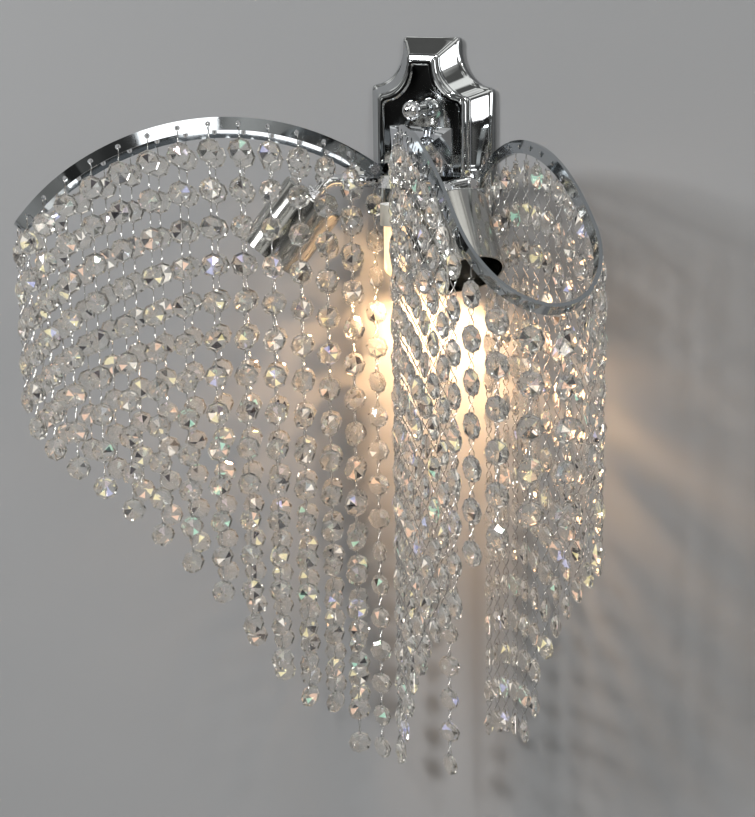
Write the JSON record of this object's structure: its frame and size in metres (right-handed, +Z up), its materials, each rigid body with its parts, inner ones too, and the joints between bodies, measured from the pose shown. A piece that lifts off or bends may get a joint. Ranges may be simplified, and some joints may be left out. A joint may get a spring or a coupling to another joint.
{
  "type": "crystal wall sconce",
  "caption": "Chrome wall light with two leaf-shaped perforated strips hung with strands of octagon crystals, two cup lamps and a lamp under the boss.",
  "frame": {"origin": "middle of the wall bracket's back face, on the wall", "axes": "+X along the wall to the right seen from the room, +Y into the wall, +Z up"},
  "size_m": [0.3733, 0.1988, 0.4381],
  "materials": {
    "bracket_steel": "zinc-plated sheet, dull",
    "plate_chrome": "polished mirror",
    "chrome": "polished mirror",
    "dark_chrome": "polished mirror, darker",
    "screw_steel": "plain steel",
    "ceramic": "glazed white",
    "bulb_glass": "frosted capsule glass with wire pins",
    "block_plastic": "white insulating plastic",
    "crystal": "clear cut crystal on bright wire"
  },
  "bodies": {
    "frame": {"bar_end_blocks": "chrome", "bracket_studs": "screw_steel", "canopy": "plate_chrome", "centre_bulb": "bulb_glass", "centre_lamp_arm": "chrome", "centre_lampholder": "ceramic", "cross_bar": "chrome", "cup_nuts": "screw_steel", "earth_screw": "screw_steel", "front_lug": "chrome", "hub_boss": "dark_chrome", "hub_locknut": "screw_steel", "hub_nipple": "screw_steel", "left_bulb": "bulb_glass", "left_cup": "chrome", "left_lamp_arm": "chrome", "left_lampholder": "ceramic", "left_wing_strip": "chrome", "right_bulb": "bulb_glass", "right_cup": "chrome", "right_lamp_arm": "chrome", "right_lampholder": "ceramic", "right_wing_strip": "chrome", "strip_screws": "screw_steel", "stud_washers": "chrome", "terminal_block": "block_plastic", "wall_bracket": "bracket_steel"},
    "upper_ball_nut": {"upper_ball_nut": "chrome"},
    "lower_ball_nut": {"lower_ball_nut": "chrome"},
    "right_strands_01": {"right_strands_01": "crystal"},
    "right_strands_02": {"right_strands_02": "crystal"},
    "right_strands_03": {"right_strands_03": "crystal"},
    "right_strands_04": {"right_strands_04": "crystal"},
    "right_strands_05": {"right_strands_05": "crystal"},
    "right_strands_06": {"right_strands_06": "crystal"},
    "right_strands_07": {"right_strands_07": "crystal"},
    "right_strands_08": {"right_strands_08": "crystal"},
    "right_strands_09": {"right_strands_09": "crystal"},
    "right_strands_10": {"right_strands_10": "crystal"},
    "right_strands_11": {"right_strands_11": "crystal"},
    "right_strands_12": {"right_strands_12": "crystal"},
    "right_strands_13": {"right_strands_13": "crystal"},
    "right_strands_14": {"right_strands_14": "crystal"},
    "right_strands_15": {"right_strands_15": "crystal"},
    "left_strands_01": {"left_strands_01": "crystal"},
    "left_strands_02": {"left_strands_02": "crystal"},
    "left_strands_03": {"left_strands_03": "crystal"},
    "left_strands_04": {"left_strands_04": "crystal"},
    "left_strands_05": {"left_strands_05": "crystal"},
    "left_strands_06": {"left_strands_06": "crystal"},
    "left_strands_07": {"left_strands_07": "crystal"},
    "left_strands_08": {"left_strands_08": "crystal"},
    "left_strands_09": {"left_strands_09": "crystal"},
    "left_strands_10": {"left_strands_10": "crystal"},
    "left_strands_11": {"left_strands_11": "crystal"},
    "left_strands_12": {"left_strands_12": "crystal"},
    "left_strands_13": {"left_strands_13": "crystal"},
    "left_strands_14": {"left_strands_14": "crystal"},
    "hub_strands": {"hub_strands": "crystal"}
  },
  "joints": [
    {"name": "upper_ball_nut_spin", "type": "hinge", "parent": "frame", "child": "upper_ball_nut", "pos_m": [0, -0.0237, 0.031], "axis": [0, -1, 0], "continuous": true},
    {"name": "lower_ball_nut_spin", "type": "hinge", "parent": "frame", "child": "lower_ball_nut", "pos_m": [0, -0.0237, -0.031], "axis": [0, -1, 0], "continuous": true},
    {"name": "right_strands_01_swing", "type": "hinge", "parent": "frame", "child": "right_strands_01", "pos_m": [0.01889, -0.07075, 0.01281], "axis": [0.4808, -0.7573, 0.442], "range_deg": [-1.5, 6]},
    {"name": "right_strands_02_swing", "type": "hinge", "parent": "frame", "child": "right_strands_02", "pos_m": [0.03687, -0.09692, 0.0245], "axis": [0.5774, -0.7794, 0.2433], "range_deg": [-6, 5.5]},
    {"name": "right_strands_03_swing", "type": "hinge", "parent": "frame", "child": "right_strands_03", "pos_m": [0.05786, -0.12311, 0.02897], "axis": [0.6541, -0.7563, 0.0169], "range_deg": [-6, 6]},
    {"name": "right_strands_04_swing", "type": "hinge", "parent": "frame", "child": "right_strands_04", "pos_m": [0.08084, -0.14776, 0.0255], "axis": [0.6917, -0.6875, -0.2212], "range_deg": [-6, 6]},
    {"name": "right_strands_05_swing", "type": "hinge", "parent": "frame", "child": "right_strands_05", "pos_m": [0.10423, -0.16941, 0.01409], "axis": [0.6778, -0.5837, -0.4471], "range_deg": [-6, 6]},
    {"name": "right_strands_06_swing", "type": "hinge", "parent": "frame", "child": "right_strands_06", "pos_m": [0.12646, -0.18701, -0.00457], "axis": [0.6298, -0.4348, -0.6436], "range_deg": [-6, 1]},
    {"name": "right_strands_07_swing", "type": "hinge", "parent": "frame", "child": "right_strands_07", "pos_m": [0.15064, -0.19404, -0.02802], "axis": [0.7647, 0.0414, -0.643], "range_deg": [-6, 1]},
    {"name": "right_strands_08_swing", "type": "hinge", "parent": "frame", "child": "right_strands_08", "pos_m": [0.17739, -0.18001, -0.04372], "axis": [0.6332, 0.7612, -0.1399], "range_deg": [-6, 3]},
    {"name": "right_strands_09_swing", "type": "hinge", "parent": "frame", "child": "right_strands_09", "pos_m": [0.18604, -0.14894, -0.03447], "axis": [-0.145, 0.8124, 0.5648], "range_deg": [-6, 3]},
    {"name": "right_strands_10_swing", "type": "hinge", "parent": "frame", "child": "right_strands_10", "pos_m": [0.17275, -0.12581, -0.01285], "axis": [-0.5923, 0.5335, 0.6038], "range_deg": [-6, 1.5]},
    {"name": "right_strands_11_swing", "type": "hinge", "parent": "frame", "child": "right_strands_11", "pos_m": [0.15092, -0.10684, 0.00436], "axis": [-0.6915, 0.5943, 0.4107], "range_deg": [-6, 6]},
    {"name": "right_strands_12_swing", "type": "hinge", "parent": "frame", "child": "right_strands_12", "pos_m": [0.12672, -0.08603, 0.01458], "axis": [-0.7436, 0.6394, 0.1954], "range_deg": [-6, 6]},
    {"name": "right_strands_13_swing", "type": "hinge", "parent": "frame", "child": "right_strands_13", "pos_m": [0.1014, -0.06426, 0.01737], "axis": [-0.7578, 0.6518, -0.0298], "range_deg": [-6, 5]},
    {"name": "right_strands_14_swing", "type": "hinge", "parent": "frame", "child": "right_strands_14", "pos_m": [0.07626, -0.04263, 0.01259], "axis": [-0.7332, 0.631, -0.2535], "range_deg": [-6, 1.5]},
    {"name": "right_strands_15_swing", "type": "hinge", "parent": "frame", "child": "right_strands_15", "pos_m": [0.05257, -0.02224, 0.00049], "axis": [-0.6712, 0.5778, -0.4643], "range_deg": [-2.5, 2.5]},
    {"name": "left_strands_01_swing", "type": "hinge", "parent": "frame", "child": "left_strands_01", "pos_m": [-0.01885, -0.07069, 0.01278], "axis": [-0.4812, -0.7568, 0.4424], "range_deg": [-6, 1.5]},
    {"name": "left_strands_02_swing", "type": "hinge", "parent": "frame", "child": "left_strands_02", "pos_m": [-0.03669, -0.09659, 0.02441], "axis": [-0.5782, -0.7781, 0.2454], "range_deg": [-5.5, 5]},
    {"name": "left_strands_03_swing", "type": "hinge", "parent": "frame", "child": "left_strands_03", "pos_m": [-0.05754, -0.1225, 0.02894], "axis": [-0.6558, -0.7546, 0.0208], "range_deg": [-6, 6]},
    {"name": "left_strands_04_swing", "type": "hinge", "parent": "frame", "child": "left_strands_04", "pos_m": [-0.0804, -0.14687, 0.02566], "axis": [-0.6949, -0.686, -0.2156], "range_deg": [-6, 6]},
    {"name": "left_strands_05_swing", "type": "hinge", "parent": "frame", "child": "left_strands_05", "pos_m": [-0.10372, -0.16829, 0.01457], "axis": [-0.6831, -0.5829, -0.44], "range_deg": [-6, 6]},
    {"name": "left_strands_06_swing", "type": "hinge", "parent": "frame", "child": "left_strands_06", "pos_m": [-0.12753, -0.18372, -0.00394], "axis": [-0.7434, -0.2325, -0.6272], "range_deg": [-2.5, 6]},
    {"name": "left_strands_07_swing", "type": "hinge", "parent": "frame", "child": "left_strands_07", "pos_m": [-0.15459, -0.18148, -0.02467], "axis": [-0.7896, 0.3795, -0.4821], "range_deg": [-2.5, 6]},
    {"name": "left_strands_08_swing", "type": "hinge", "parent": "frame", "child": "left_strands_08", "pos_m": [-0.17512, -0.15587, -0.02872], "axis": [-0.2277, 0.9258, 0.3018], "range_deg": [-3, 6]},
    {"name": "left_strands_09_swing", "type": "hinge", "parent": "frame", "child": "left_strands_09", "pos_m": [-0.17067, -0.12676, -0.01181], "axis": [0.4489, 0.6979, 0.5581], "range_deg": [-2.5, 6]},
    {"name": "left_strands_10_swing", "type": "hinge", "parent": "frame", "child": "left_strands_10", "pos_m": [-0.15002, -0.10606, 0.00489], "axis": [0.6942, 0.5966, 0.4027], "range_deg": [-6, 6]},
    {"name": "left_strands_11_swing", "type": "hinge", "parent": "frame", "child": "left_strands_11", "pos_m": [-0.12598, -0.0854, 0.01477], "axis": [0.7446, 0.6402, 0.1888], "range_deg": [-6, 6]},
    {"name": "left_strands_12_swing", "type": "hinge", "parent": "frame", "child": "left_strands_12", "pos_m": [-0.10088, -0.06381, 0.01735], "axis": [0.7577, 0.6517, -0.0345], "range_deg": [-5.5, 6]},
    {"name": "left_strands_13_swing", "type": "hinge", "parent": "frame", "child": "left_strands_13", "pos_m": [-0.07598, -0.04239, 0.0125], "axis": [0.7327, 0.6305, -0.256], "range_deg": [-1.5, 6]},
    {"name": "left_strands_14_swing", "type": "hinge", "parent": "frame", "child": "left_strands_14", "pos_m": [-0.05252, -0.0222, 0.00046], "axis": [0.671, 0.5777, -0.4648], "range_deg": [-2.5, 2.5]},
    {"name": "hub_strands_swing", "type": "hinge", "parent": "frame", "child": "hub_strands", "pos_m": [0, -0.0262, -0.0101], "axis": [1, 0, 0], "range_deg": [-2.5, 3]}
  ]
}
